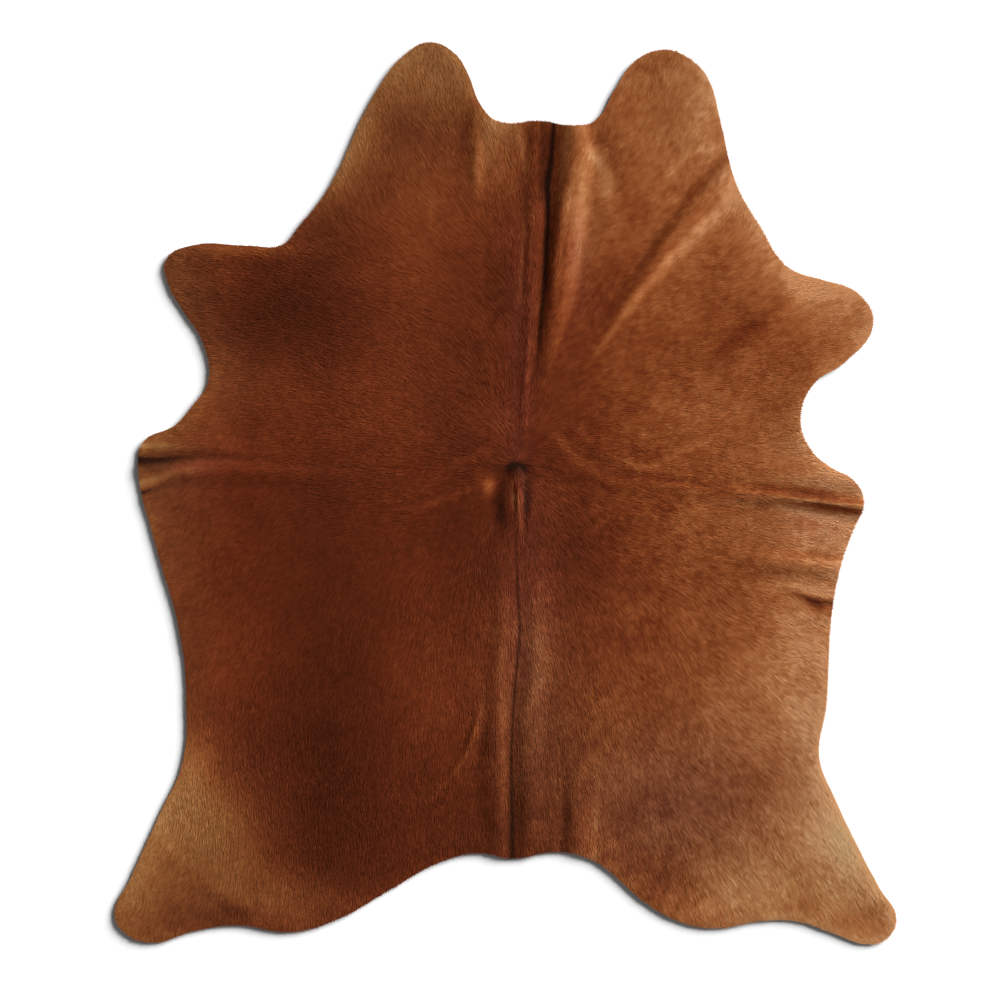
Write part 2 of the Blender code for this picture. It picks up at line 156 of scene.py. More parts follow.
# Strokes of tone along the folds, in the same columns. Most are painted light and painted shade on
# the lit and shaded sides of the folds, and a few along the spine are the hair's own lighter and
# darker streaks. A stroke's height is how much lighter it makes the coat, or how much darker where
# it is below nought.
TONE_AND_LIGHT_STROKES = {
    "diagonal, lit side": [
        (555, 726, 0.12, 42, 19), (499, 665, 0.21, 44, 19), (445, 609, 0.24, 40, 19),
        (382, 544, 0.24, 30, 19), (324, 479, 0.24, 23, 16), (270, 409, 0.21, 16, 16),
        (226, 344, 0.16, 14, 14), (184, 283, 0, 12, 12),
    ],
    "diagonal, shaded side": [
        (517, 782, -0.22, 19, 23), (464, 730, -0.2, 21, 26), (417, 672, -0.17, 21, 23),
        (375, 609, -0.16, 21, 21), (324, 539, -0.08, 19, 14), (266, 474, 0, 14, 14),
    ],
    "above the diagonal": [
        (503, 810, 0, 14, 14), (452, 800, 0.12, 16, 16), (401, 770, 0.12, 19, 19), (370, 719, 0.1, 16, 16),
        (336, 672, 0, 14, 14),
    ],
    "right shoulder, shaded": [
        (652, 451, 0, 21, 23), (596, 402, -0.08, 30, 30), (536, 362, -0.08, 35, 33), (471, 320, 0, 23, 23),
    ],
    "neck spine, shaded side": [
        (140, 866, 0.08, 16, 19), (140, 800, 0.32, 19, 21), (130, 730, 0.14, 16, 14),
        (121, 684, 0, 12, 12),
    ],
    "neck spine, lit side": [
        (175, 866, 0.22, 28, 51), (191, 789, 0.27, 35, 56), (179, 719, 0.26, 35, 56),
        (172, 649, 0.26, 35, 58), (168, 579, 0.25, 33, 47), (156, 497, 0.22, 28, 42),
        (142, 428, 0.15, 23, 37), (117, 346, 0.12, 16, 23), (96, 264, 0, 12, 14),
    ],
    "right of the notch": [
        (191, 828, 0.04, 21, 21), (221, 777, 0.26, 28, 28), (235, 719, 0.26, 26, 28),
        (245, 672, 0.18, 23, 21), (256, 626, 0.08, 21, 19), (266, 591, 0, 16, 16),
    ],
    "neck spine, dark hair": [
        (89, 866, -0.18, 21, 14), (86, 777, -0.3, 21, 14), (84, 712, -0.22, 16, 14), (82, 665, 0, 12, 12),
    ],
    "spine hairs, left": [
        (42, 672, 0, 7, 7), (40, 591, 0.14, 7, 7), (35, 497, 0.24, 7, 7), (30, 381, 0.1, 7, 7),
        (21, 218, 0.08, 7, 7), (14, 113, 0, 5, 5),
    ],
    "spine hairs, right": [
        (65, 696, 0, 7, 7), (63, 626, 0.1, 7, 7), (56, 521, 0.06, 7, 7), (54, 358, 0.06, 7, 7),
        (51, 241, 0.1, 7, 7), (49, 160, 0.05, 7, 7), (42, 101, 0, 5, 5),
    ],
    "left of the notch, lit": [
        (-40, 861, 0.12, 47, 21), (-47, 824, 0.14, 47, 21), (-61, 772, 0.15, 37, 21),
        (-68, 714, 0.1, 21, 16), (-68, 656, 0, 14, 12),
    ],
    "left of the notch, shaded": [
        (-93, 861, -0.14, 19, 14), (-100, 800, -0.14, 16, 19), (-105, 749, -0.06, 14, 19),
        (-105, 707, 0, 14, 12),
    ],
    "left neck, faint": [
        (-175, 777, 0, 9, 9), (-170, 672, 0.09, 9, 9), (-177, 556, 0.06, 9, 9), (-182, 474, 0, 7, 7),
    ],
    "crossing, lower left arm": [
        (-219, -57, 0, 12, 12), (-186, -29, 0.1, 16, 16), (-142, -15, 0.07, 14, 16),
        (-89, 6, 0.07, 14, 16), (-56, 20, 0, 12, 12),
    ],
    "crossing, upper left arm": [
        (-189, 41, 0, 14, 14), (-119, 69, 0.1, 16, 16), (-49, 97, 0.12, 16, 16), (-9, 115, 0, 12, 12),
    ],
    "crossing, upper right arm": [
        (91, 171, 0, 14, 14), (126, 120, 0.15, 19, 19), (172, 78, 0.15, 19, 19), (226, 41, 0.1, 16, 16),
        (266, 22, 0, 12, 12),
    ],
    "crossing, right arm": [
        (247, 78, 0, 14, 14), (284, 71, 0.16, 16, 16), (324, 59, 0.12, 16, 16), (370, 73, 0.14, 19, 19),
        (429, 106, 0.14, 19, 19), (480, 129, 0.1, 16, 16), (522, 148, 0, 14, 14),
    ],
    "crossing, under the right arm": [
        (91, 45, 0, 9, 9), (172, 36, -0.08, 12, 12), (312, 41, -0.1, 12, 12), (429, 24, -0.12, 12, 12),
        (503, 10, 0, 9, 12),
    ],
    "below the crossing, ridge": [
        (28, 27, 0, 9, 7), (30, 8, 0.2, 9, 7), (30, -15, 0.24, 9, 7), (33, -50, 0.2, 9, 7),
        (37, -85, 0.16, 7, 7), (40, -120, 0, 5, 5),
    ],
    "below the crossing, left": [
        (-14, 64, 0, 23, 28), (-12, 31, -0.14, 26, 33), (-9, -15, -0.24, 26, 35), (-5, -55, -0.26, 26, 35),
        (0, -108, 0, 14, 16),
    ],
    "below the crossing, right": [
        (54, 36, 0, 9, 9), (54, -10, -0.16, 9, 12), (51, -50, -0.14, 9, 12), (44, -108, 0, 7, 9),
    ],
    "middle, left, lit": [
        (-871, 22, 0.22, 19, 19), (-829, 29, 0.26, 19, 19), (-788, 43, 0.22, 19, 16),
        (-748, 52, 0.22, 16, 16), (-678, 52, 0.06, 16, 16), (-620, 50, 0, 14, 14),
    ],
    "under the middle, right": [
        (387, -80, 0, 12, 12), (429, -52, 0.1, 14, 14), (471, -22, 0.12, 14, 14), (534, -20, 0.06, 12, 12),
        (592, -34, 0, 9, 9),
    ],
    "right flank, lit": [
        (534, -150, 0, 12, 12), (592, -139, 0.06, 12, 14), (650, -139, -0.06, 14, 14),
        (732, -146, -0.14, 16, 16), (783, -148, -0.1, 14, 14),
    ],
    "right flank, shaded": [
        (550, -195, 0, 12, 12), (627, -181, -0.1, 12, 14), (697, -183, -0.06, 12, 14),
        (764, -211, -0.08, 12, 14),
    ],
    "hind spine, left": [
        (5, -155, 0, 12, 12), (-2, -318, 0.06, 12, 12), (-9, -376, 0.16, 16, 16),
        (-12, -435, 0.08, 14, 14), (-7, -528, 0.12, 19, 19), (-5, -668, 0.1, 19, 19),
        (-2, -859, 0.06, 19, 19),
    ],
    "hind spine, right": [
        (65, -190, 0, 21, 21), (70, -271, 0.07, 30, 28), (79, -369, 0.11, 40, 33),
        (75, -458, 0.09, 35, 28), (47, -528, 0.08, 28, 21), (37, -621, 0, 19, 19),
    ],
    "beside the tail, shaded": [
        (140, -602, 0, 14, 14), (142, -714, -0.14, 16, 16), (140, -784, -0.2, 16, 16),
        (137, -845, -0.24, 16, 16),
    ],
    "beside the tail, lit": [
        (212, -563, 0, 16, 16), (214, -691, 0.1, 16, 16), (205, -845, 0.12, 16, 16),
    ],
    "left loin, lit": [
        (-40, -458, 0, 9, 9), (-58, -516, 0.14, 9, 9), (-77, -574, 0.2, 9, 9), (-107, -633, 0.18, 12, 9),
        (-149, -686, 0.14, 12, 12), (-189, -728, 0, 12, 12),
    ],
    "left loin, shaded": [
        (-30, -481, 0, 12, 12), (-40, -551, -0.08, 12, 14), (-51, -609, -0.08, 14, 14),
        (-75, -679, 0, 12, 12),
    ],
    "left hind leg": [
        (-727, -896, 0, 12, 12), (-678, -940, -0.14, 14, 14), (-620, -975, -0.18, 14, 19),
        (-564, -991, 0, 12, 12),
    ],
    "neck spine, lit edge": [
        (165, 835, 0, 9, 19), (161, 777, 0.08, 9, 19), (151, 707, 0.16, 9, 21), (142, 649, 0.18, 9, 21),
        (130, 567, 0.18, 9, 19), (121, 493, 0.18, 9, 16), (112, 428, 0, 7, 12),
    ],
    "neck spine, pale hair": [
        (30, 861, 0.08, 14, 14), (40, 800, 0.18, 14, 14), (47, 758, 0.16, 14, 14), (49, 726, 0, 12, 12),
    ],
    "spine hairs, middle": [
        (56, 497, 0, 7, 7), (54, 428, -0.14, 7, 7), (40, 264, -0.1, 7, 7), (28, 125, -0.06, 7, 7),
        (26, 90, 0, 7, 7),
    ],
    "above the middle, right": [
        (452, 31, 0, 21, 16), (545, 17, -0.03, 23, 16), (638, 8, -0.28, 21, 19), (732, -1, -0.46, 16, 14),
        (778, -6, -0.24, 12, 12), (834, -13, -0.14, 9, 12),
    ],
    "below the crossing, ridge's left": [
        (14, 45, 0, 9, 9), (15, 17, 0.28, 9, 9), (17, -15, 0.36, 9, 9), (21, -50, 0.16, 9, 7),
        (26, -80, 0, 7, 7),
    ],
    "middle, left, above": [
        (-888, 111, 0.3, 14, 16), (-829, 110, 0.36, 14, 16), (-771, 106, 0.22, 12, 12),
        (-713, 104, 0.08, 9, 9), (-662, 106, 0.1, 9, 9), (-608, 101, 0.06, 9, 9), (-550, 97, 0, 7, 7),
    ],
    "below the middle, right": [
        (580, -29, 0, 14, 14), (650, -34, 0.12, 12, 19), (732, -55, 0.26, 14, 23),
        (802, -64, 0.28, 14, 23), (848, -69, 0.24, 14, 23),
    ],
    "right flank, under the short fold": [
        (662, -262, 0, 12, 16), (699, -267, -0.12, 12, 21), (736, -269, -0.24, 12, 23),
        (790, -276, -0.2, 12, 23),
    ],
    "middle, right, ridge": [
        (603, -1, 0, 7, 7), (673, -7, -0.16, 9, 7), (732, -12, -0.32, 12, 9), (778, -17, -0.34, 12, 9),
        (834, -24, -0.3, 12, 9),
    ],
    "right flank, in the short fold": [
        (643, -225, 0, 12, 12), (685, -239, -0.3, 14, 16), (725, -253, -0.52, 14, 23),
        (750, -257, -0.4, 14, 19), (850, -266, -0.5, 14, 19),
    ],
    "right flank, above the short fold": [
        (583, -216, 0, 14, 14), (629, -220, 0.14, 19, 16), (685, -223, 0.12, 16, 14),
        (755, -232, 0.14, 14, 12), (790, -236, 0, 12, 12),
    ],
    "middle, right, in the fold": [
        (615, -13, 0, 7, 9), (685, -21, -0.22, 7, 14), (732, -27, -0.4, 7, 16), (790, -36, -0.52, 7, 19),
        (848, -43, -0.55, 7, 19),
    ],
    "spine hairs, broad": [
        (42, 707, 0, 19, 23), (40, 567, 0.05, 19, 21), (33, 334, 0.06, 19, 21), (23, 125, 0.05, 16, 19),
        (21, 83, 0, 12, 12),
    ],
}

# Painted shade in the depth of a crease: the hair there is painted nearly black, in the same
# columns. At a height of one it is wholly so.
CREASE_SHADE = {
    "neck spine": [
        (116, 900, 1, 12, 15), (111, 835, 1, 12, 14), (106, 770, 1.15, 12, 17), (99, 719, 1.25, 12, 18),
        (99, 649, 1, 11, 14), (95, 579, 1, 12, 13), (91, 498, 1, 12, 11), (84, 428, 0.9, 11, 10),
        (77, 340, 0.65, 9, 9), (68, 240, 0, 8, 8),
    ],
    "crossing": [
        (-8, 56, 0, 12, 12), (6, 58, 1.1, 20, 15), (22, 58, 1.4, 28, 19), (40, 58, 1.3, 24, 17),
        (54, 56, 0, 14, 12),
    ],
    "left of the ridge below the crossing": [
        (2, 45, 0.3, 10, 18), (-6, -5, 0.26, 14, 26), (-6, -50, 0.26, 18, 26), (4, -95, 0, 10, 14),
    ],
    "right of the ridge below the crossing": [
        (48, 50, 0.5, 10, 8), (48, -15, 0.9, 12, 10), (48, -50, 0.55, 10, 10), (44, -95, 0, 8, 8),
    ],
    "hind spine": [
        (24, -100, 0.35, 5, 5), (29, -243, 0.75, 6, 5), (33, -332, 0.85, 6, 6), (21, -458, 0.75, 6, 5),
        (14, -600, 0.75, 6, 6), (15, -740, 0.8, 10, 10), (16, -900, 0.95, 16, 16),
    ],
    "middle, left": [
        (-900, 83, 1.1, 10, 42), (-830, 83, 1.1, 7, 42), (-790, 83, 1, 7, 34), (-745, 86, 0.7, 7, 18),
        (-665, 85, 0.5, 6, 10), (-580, 80, 0.3, 5, 6), (-380, 62, 0.22, 4, 4), (-150, 66, 0.16, 4, 4),
        (-10, 68, 0.3, 5, 5),
    ],
    "middle, right": [
        (52, 64, 0.3, 5, 5), (220, 50, 0.25, 5, 5), (320, 48, 0.25, 5, 5), (420, 36, 0.25, 5, 5),
        (506, 4, 0.45, 4, 5), (592, -4, 0.35, 4, 5), (697, -20, 0.4, 5, 5), (780, -30, 0.45, 5, 6),
        (900, -40, 0.5, 5, 6),
    ],
    "right flank, short": [
        (650, -228, 0, 6, 8), (695, -240, 0.35, 10, 12), (725, -253, 0.6, 12, 18),
        (750, -256, 0.45, 12, 15), (850, -266, 0.6, 12, 16),
    ],
    "left flank, short": [
        (-900, -14, 1.1, 9, 9), (-835, 4, 1, 8, 8), (-800, 14, 0.8, 7, 7), (-770, 20, 0, 4, 4),
    ],
}

# How light the coat is from flank to flank: x, and a tone from nought, darkest, to one. It grows
# lighter towards the right flank partly by the coat's own colour and partly as painted light from
# the right, where the light comes from.
FLANK_TONES_AND_LIGHT = [
    (-920, 0.42), (-750, 0.38), (-600, 0.29), (-420, 0.22), (-250, 0.31), (-100, 0.26), (30, 0.34),
    (200, 0.45), (350, 0.57), (500, 0.65), (620, 0.77), (740, 0.89), (920, 0.96),
]

# How strong the coat's mottling is from flank to flank: x and its strength.
MOTTLING = [
    (-920, 0.65), (-620, 0.5), (-300, 0.45), (0, 0.6), (200, 0.85), (400, 1.05), (920, 0.65),
]

# Soft patches of tone on top of it all. Some are the coat's own colour and some are painted light
# and shade, such as the painted highlight on the right fore leg's rim and the painted lit band
# right of the neck spine. Each has its x and y, its reach across and along, how far it is turned,
# in degrees, and how much lighter or darker it makes the coat.
TONE_AND_LIGHT_PATCHES = {
    "left neck lobe, tip": (-170, 1010, 170, 120, 0, 0.38),
    "left neck": (-170, 720, 200, 190, 0, 0.2),
    "left neck, rim": (-370, 790, 60, 150, -28, 0.36),
    "left of the notch": (-15, 820, 70, 120, 0, 0.22),
    "left withers": (-190, 450, 260, 260, 0, 0.11),
    "left shoulder": (-530, 420, 180, 130, 0, -0.12),
    "left fore leg, rim": (-580, 570, 120, 25, 0, 0.2),
    "left ribs": (-430, 190, 250, 150, 0, 0.13),
    "left elbow": (-710, 190, 70, 100, 0, 0.08),
    "left flank": (-600, -380, 110, 120, 0, 0.07),
    "left loin": (-130, -470, 140, 210, 0, 0.15),
    "left rump": (-380, -640, 170, 300, 0, -0.08),
    "left thigh, rim": (-790, -760, 80, 180, -24, 0.22),
    "left thigh": (-650, -800, 120, 150, 0, 0.3),
    "left hind leg": (-640, -995, 120, 45, 0, -0.14),
    "left hind leg, tip": (-860, -940, 70, 80, 0, 0.13),
    "left flank, hind rim": (-760, -400, 45, 260, 0, -0.08),
    "left belly": (-500, -960, 150, 80, 0, 0.27),
    "hind spine": (60, -370, 80, 220, 0, 0.13),
    "tail": (0, -790, 50, 60, 0, -0.09),
    "tail, rim": (20, -830, 200, 25, 0, -0.08),
    "right loin": (230, -620, 80, 200, 0, 0.11),
    "right of the crossing": (180, -150, 90, 110, 0, -0.12),
    "right neck lobe": (380, 980, 160, 130, 0, 0.12),
    "right neck": (330, 800, 110, 130, 0, 0.13),
    "right neck, rim": (470, 850, 70, 130, 0, 0.1),
    "right hind leg, tip, rim": (870, -950, 40, 60, 0, -0.07),
    "right elbow, hind rim": (820, -70, 50, 40, 0, 0.09),
    "right hind leg, hind rim": (685, -966, 70, 28, -14, -0.12),
    "right thigh, rim": (785, -812, 30, 60, 26, 0.07),
    "right ribs, hind": (603, 101, 90, 35, 0, 0.09),
    "right of the neck spine": (205, 630, 60, 140, 0, 0.17),
    "right shoulder": (400, 620, 130, 150, 0, 0.11),
    "right shoulder, rim": (560, 655, 45, 150, 30, 0.18),
    "right fore leg, rim": (700, 490, 65, 38, -25, 0.36),
    "crossing, left spot": (-37, 16, 12, 22, 0, 0.48),
    "crossing, right spot": (77, 12, 12, 20, 0, 0.16),
    "left of the spine, dark": (-14, 500, 45, 80, 0, -0.12),
    "right of the spine, dark": (240, 485, 40, 50, 0, -0.1),
    "withers, low": (-20, 170, 60, 50, 0, 0.11),
    "right withers": (230, 270, 60, 50, 0, 0.06),
    "right ribs, low": (330, 160, 70, 50, 0, 0.05),
    "right ribs, light": (570, 280, 50, 60, 0, 0.09),
    "right ribs, rim": (700, 270, 40, 60, 0, -0.05),
    "right neck lobe, low": (290, 905, 60, 60, 0, 0.08),
    "left ribs, light": (-560, 270, 110, 60, 0, 0.06),
    "left flank, rim": (-715, -640, 50, 80, 0, 0.13),
    "right flank, low": (690, -330, 60, 90, 0, 0.15),
    "right elbow": (760, 40, 90, 35, 0, 0.12),
    "right ribs": (660, 290, 170, 170, 0, -0.18),
    "right ribs, middle": (480, 190, 170, 70, 0, 0.1),
    "right ribs, fore": (330, 420, 120, 120, 0, 0.03),
    "right flank": (570, -190, 60, 50, 0, -0.08),
    "right flank, light": (600, -430, 90, 70, 0, 0.14),
    "right flank, rim": (730, -560, 70, 120, 0, 0.06),
    "right thigh": (790, -790, 90, 200, 24, 0.09),
    "right hind leg": (540, -930, 110, 70, 0, 0.2),
    "right hind leg, low": (720, -950, 80, 60, 0, -0.06),
    "right hind leg, tip": (820, -1005, 70, 50, 0, -0.17),
    "right rump": (490, -530, 60, 80, 0, 0.06),
    "right rump, low": (430, -720, 220, 90, 0, -0.06),
    "right rump, dark": (590, -670, 70, 60, 0, -0.1),
    "left neck lobe, right": (-130, 930, 60, 80, 0, 0.09),
    "left neck lobe, foot": (-250, 860, 60, 50, 0, -0.09),
    "right neck lobe, rim": (460, 920, 50, 100, 0, 0.11),
    "left fore leg": (-630, 510, 90, 40, 0, 0.1),
    "right ribs, upper": (460, 280, 70, 60, 0, 0.07),
    "right ribs, edge": (700, 160, 45, 45, 0, 0.12),
    "right elbow, low": (735, -100, 35, 30, 0, 0.12),
    "right flank, upper": (570, -80, 50, 40, 0, 0.07),
    "right flank, edge": (755, -340, 25, 70, 0, -0.12),
    "hind spine, left": (-14, -300, 40, 50, 0, 0.06),
    "right hind leg, inner": (360, -890, 70, 60, 0, -0.11),
    "right shoulder, low": (541, 362, 65, 35, 35, -0.06),
    "left belly, low": (-560, -1010, 60, 30, 0, -0.06),
    "right hind leg, rim": (690, -790, 60, 80, 0, 0.04),
    "right flank, top": (685, -185, 45, 45, 0, 0.08),
    "left of the crossing": (-130, -80, 50, 50, 0, -0.05),
    "beside the notch, left": (-5, 870, 45, 50, 0, 0.13),
    "left neck, foot": (-363, 510, 60, 50, 0, 0.05),
    "left ribs, fore": (-600, 160, 50, 45, 0, -0.06),
    "right flank, fore": (452, -73, 50, 45, 0, 0.06),
    "right rump, rim": (680, -530, 55, 55, 0, 0.09),
}

# Where the coat is bleached, so that its red brown turns to ochre, in the same columns.
FADED = {
    "left neck lobe": (-200, 980, 200, 200, 0, 0.8),
    "left neck, rim": (-400, 760, 120, 200, -28, 0.7),
    "left fore leg": (-790, 450, 120, 250, 0, 1.1),
    "left flank, rim": (-870, 50, 130, 330, 0, 1.1),
    "left hind leg": (-740, -850, 180, 210, 0, 1.2),
    "left hind leg, tip": (-860, -980, 100, 110, 0, 0.7),
    "left flank, hind rim": (-760, -400, 70, 260, 0, 0.6),
    "left belly": (-480, -960, 150, 90, 0, 0.6),
    "hind spine": (60, -520, 110, 300, 0, 0.7),
    "right rump": (400, -760, 330, 250, 0, 0.8),
    "right flank, rim": (800, -520, 100, 160, 0, 0.22),
    "right thigh, rim": (785, -812, 35, 70, 26, 0.55),
    "right hind leg": (750, -960, 180, 120, 0, 0.45),
    "right flank": (600, -120, 120, 120, 0, 0.08),
    "right neck lobe": (360, 960, 230, 230, 0, 0.28),
    # This one pales the lit band beside the neck spine: painted sheen as well as bleached hair.
    "right of the notch": (190, 720, 60, 150, 0, 0.35),
    "left of the notch": (-40, 800, 90, 120, 0, 0.2),
    "left shoulder": (-640, 270, 100, 100, 0, 0.5),
    "middle, right, ridge": (740, -10, 120, 14, 0, 0.5),
}

# Where the coat is dusty, so that its brown turns to rose, in the same columns.
DUSTY = {
    "spine": (35, 300, 35, 330, 0, 0.9),
    "hind spine": (50, -300, 70, 300, 0, 0.75),
    "right rump": (390, -710, 240, 160, 0, 0.68),
    "right flank": (690, -60, 110, 70, 0, 0.2),
    # This one tints the lit band beside the neck spine rose: painted sheen as well as dusty hair.
    "right of the neck spine": (170, 520, 35, 160, 0, 0.5),
    "left elbow": (-720, 50, 80, 60, 0, 0.5),
}

# Where the rim lies down on the floor, in the same columns. Elsewhere it stands a little off it.
RIM_DOWN = {
    "right neck lobe": (500, 900, 120, 240, 0, 1),
    "right shoulder": (600, 640, 120, 160, 0, 1),
    "right fore leg": (780, 490, 140, 110, 0, 1),
    "right elbow": (800, 40, 120, 100, 0, 0.8),
    "right flank": (800, -300, 110, 260, 0, 1),
    "right thigh": (830, -750, 100, 200, 0, 1),
}

# The way in which the hair lies near each of these places: x, y and degrees from +X.
COMBING = {
    "left neck lobe": (-200, 970, 110),
    "left neck, rim": (-305, 754, 95),
    "left neck": (-188, 754, 132),
    "left of the notch": (-70, 780, 108),
    "left neck, low": (-188, 637, 156),
    "left of the neck spine": (-70, 560, 160),
    "left withers": (-70, 400, 150),
    "left shoulder": (-300, 450, 170),
    "left fore leg": (-650, 520, 179),
    "left ribs": (-420, 280, 174),
    "left ribs, by the spine": (-70, 180, 160),
    "behind the left fore leg": (-640, 170, 205),
    "left of the middle": (-300, 60, 184),
    "left flank, fore": (-660, -60, 225),
    "left of the crossing": (-130, -60, 212),
    "left flank": (-640, -300, 228),
    "left loin": (-300, -380, 236),
    "left of the hind spine": (-72, -400, 252),
    "left thigh": (-650, -700, 276),
    "left rump": (-330, -760, 262),
    "left of the tail": (-90, -700, 250),
    "left hind leg": (-780, -900, 236),
    "neck spine": (55, 600, 84),
    "withers": (40, 250, 87),
    "hind spine, fore": (30, -150, 276),
    "hind spine": (30, -500, 272),
    "tail": (40, -800, 271),
    "right of the notch": (210, 800, 60),
    "right neck lobe": (390, 950, 62),
    "right neck, rim": (470, 780, 50),
    "right neck": (280, 640, 14),
    "right of the neck spine": (165, 460, 52),
    "right shoulder, rim": (560, 700, 68),
    "right shoulder": (440, 500, 8),
    "right withers": (165, 290, 24),
    "right fore leg": (740, 410, 17),
    "right ribs": (430, 240, 2),
    "behind the right fore leg": (620, 180, -4),
    "right of the middle": (165, 80, -22),
    "right flank, fore": (600, -60, -12),
    "right of the crossing": (300, -100, -16),
    "right flank": (640, -300, -26),
    "right loin": (300, -330, -56),
    "right of the hind spine": (165, -350, -70),
    "right flank, hind": (640, -560, -38),
    "right rump": (380, -680, -56),
    "right of the tail": (165, -760, -82),
    "right thigh": (660, -780, -62),
    "right hind leg": (820, -960, -58),
}

# The coat is made in pieces, each the locks that are rooted in its part of the hide, given in
# metres by the part's lowest and highest corner. The parts meet on the spine.
COAT_PARTS = {
    "coat_neck_left": ((-1.2, 0.38), (0.03, 1.3)),
    "coat_neck_right": ((0.03, 0.38), (1.2, 1.3)),
    "coat_ribs_left": ((-1.2, -0.34), (0.03, 0.38)),
    "coat_ribs_right": ((0.03, -0.34), (1.2, 0.38)),
    "coat_rump_left": ((-1.2, -1.3), (0.03, -0.34)),
    "coat_rump_right": ((0.03, -1.3), (1.2, -0.34)),
}

RIM_LIFT = 0.0045            # metres that the hide's rim stands off the floor
RIM_ROLL = 0.055             # metres from the rim over which it comes down to the floor
RIM_TONE = 0.12              # how much lighter the coat is along the hide's rim
RIM_REACH = 0.028            # metres from the rim over which that fades
BAND_STEPS = 6               # smooth steps between two stations
LIE_REACH = 0.09             # metres over which one place's combing blends into the next
SHARP_ANGLE = 40             # degrees past which an edge stays sharp, as the cut edge does
GRID_MARGIN = 0.03           # metres by which the grid overhangs the outline before it is cut
MERGE_DISTANCE = 0.00001     # metres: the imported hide's loose triangles are joined into one mesh
FACES_UP = 0.7               # least z of the normal of a face that counts as facing up
BLOCK_BASE = -0.01           # metres: the height of the cutting block's base
BLOCK_HEIGHT = 0.03          # metres: how tall the cutting block is
BLOCK_FLATNESS = 1           # degrees between two faces of its base that are joined into one
HAIR_SIDE, FLESH_SIDE, CUT_EDGE = 0, 1, 2

# The coat's colour at each tone from nought to one.
COAT_RAMP = [
    (0.00, (0.020, 0.0040, 0.0018)),
    (0.15, (0.062, 0.0105, 0.0030)),
    (0.30, (0.095, 0.0163, 0.0046)),
    (0.45, (0.160, 0.0300, 0.0082)),
    (0.60, (0.242, 0.0578, 0.0145)),
    (0.75, (0.342, 0.1022, 0.0300)),
    (0.90, (0.445, 0.1620, 0.0560)),
    (1.00, (0.578, 0.2600, 0.1100)),
]
BLEACH = (0.93, 1.34, 1.50, 1)              # what full fading does to the coat's red, green and blue
DUST = (1.00, 1.00, 1.60, 1)                # what the dustiest coat does to them
# Painted shade: the near-black that the hair deep in a crease is painted.
CREASE_SHADE_COLOUR = (0.011, 0.003, 0.0018, 1)   # the hair in the depth of a crease
GLOSS_COLOUR = (1.0, 0.50, 0.28, 1)         # the tint of the hair's gloss
CLOUDS = (13, 2, 0.30)                      # broad mottling: noise scale, detail and strength
SPECKS = (42, 4, 0.22)                      # fine mottling: noise scale, detail and strength
CLUMPS = (85, 3, 0.45)                      # from lock to lock: noise scale, detail and strength
STRAY_TONE = 0.03                           # how much lighter or darker one lock is by chance
# Painted shade: the skin's hair side, seen between the locks, is painted this much darker, as if the locks
# shaded it.
UNDERCOAT_SHADE = 0.06                      # how much darker the skin is between the locks
LEATHER_MOTTLE = (0.72, 1.15)               # the darkest and the lightest share of the tan

LOCK_LENGTHS = (0.75, 1.25)                 # the shortest and the longest lock, as shares
LOCK_WIDTHS = (0.7, 1.3)                    # the slimmest and the widest lock, as shares
LOCK_TURNS = ((-0.07, -0.11, -0.22), (0.07, -0.05, 0.22))   # least and most, in radians
ROOM = 1.1                                  # lock lengths within which the rim shortens a lock
SEED_STEP = 10                              # how far apart the seeds of two coat pieces are

FLOOR_SIZE = 90                             # metres
FLOOR_DROP = 0.0005                         # metres by which the floor lies under the hide
SENSOR = 36                                 # millimetres
CAMERA_PLACE = (-0.0130, -0.0156, 14.0)     # metres: straight above the hide
VIEW_WIDTH = 2.33                           # metres of floor from side to side of the picture


# ---------------------------------------------------------------- settings


class HideSkinSettings(bpy.types.PropertyGroup):
    cell: FloatProperty(
        name="Cell",
        description="Width of the skin's grid cells",
        default=0.0085,
        unit="LENGTH",
    )
    leather: FloatProperty(
        name="Leather",
        description="Thickness of the tanned skin under its coat",
        default=0.0028,
        unit="LENGTH",
    )
    swell: FloatProperty(
        name="Swell",
        description="Height of the low unevenness between the folds",
        default=0.0008,
        unit="LENGTH",
    )
    flesh_colour: FloatVectorProperty(
        name="Flesh side",
        description="Colour of the suede under side",
        default=(0.42, 0.29, 0.18, 1.0),
        size=4,
        subtype="COLOR",
    )
    edge_colour: FloatVectorProperty(
        name="Cut edge",
        description="Colour of the leather where it is cut",
        default=(0.30, 0.17, 0.09, 1.0),
        size=4,
        subtype="COLOR",
    )


class HideCoatSettings(bpy.types.PropertyGroup):
    length: FloatProperty(
        name="Lock length", description="Length of a lock of hair", default=0.018, unit="LENGTH"
    )
    width: FloatProperty(
        name="Lock width", description="Width of a lock at its root", default=0.0028, unit="LENGTH"
    )
    height: FloatProperty(
        name="Lock height", description="Depth of a lock at its root", default=0.0004, unit="LENGTH"
    )
    spacing: FloatProperty(
        name="Spacing", description="Least distance between two roots", default=0.0026, unit="LENGTH"
    )
    overhang: FloatProperty(
        name="Overhang", description="How far hair reaches past the cut edge", default=0.004, unit="LENGTH"
    )
    seed: IntProperty(name="Seed", description="Start of the random draws", default=11)


class HideStageSettings(bpy.types.PropertyGroup):
    floor_colour: FloatVectorProperty(
        name="Floor",
        description="Colour of the floor",
        default=(0.95, 0.95, 0.95, 1.0),
        size=4,
        subtype="COLOR",
    )
    key: FloatProperty(name="Key", description="Strength of the broad low light", default=9.8)
    height: FloatProperty(name="Height", description="Degrees of the light over the floor", default=20)
    around: FloatProperty(name="Around", description="Degrees from +X that the light comes from", default=36)
    width: FloatProperty(name="Width", description="Degrees that the light spans", default=44)
    sky: FloatProperty(name="Sky", description="Strength of the light from all round", default=0.12)


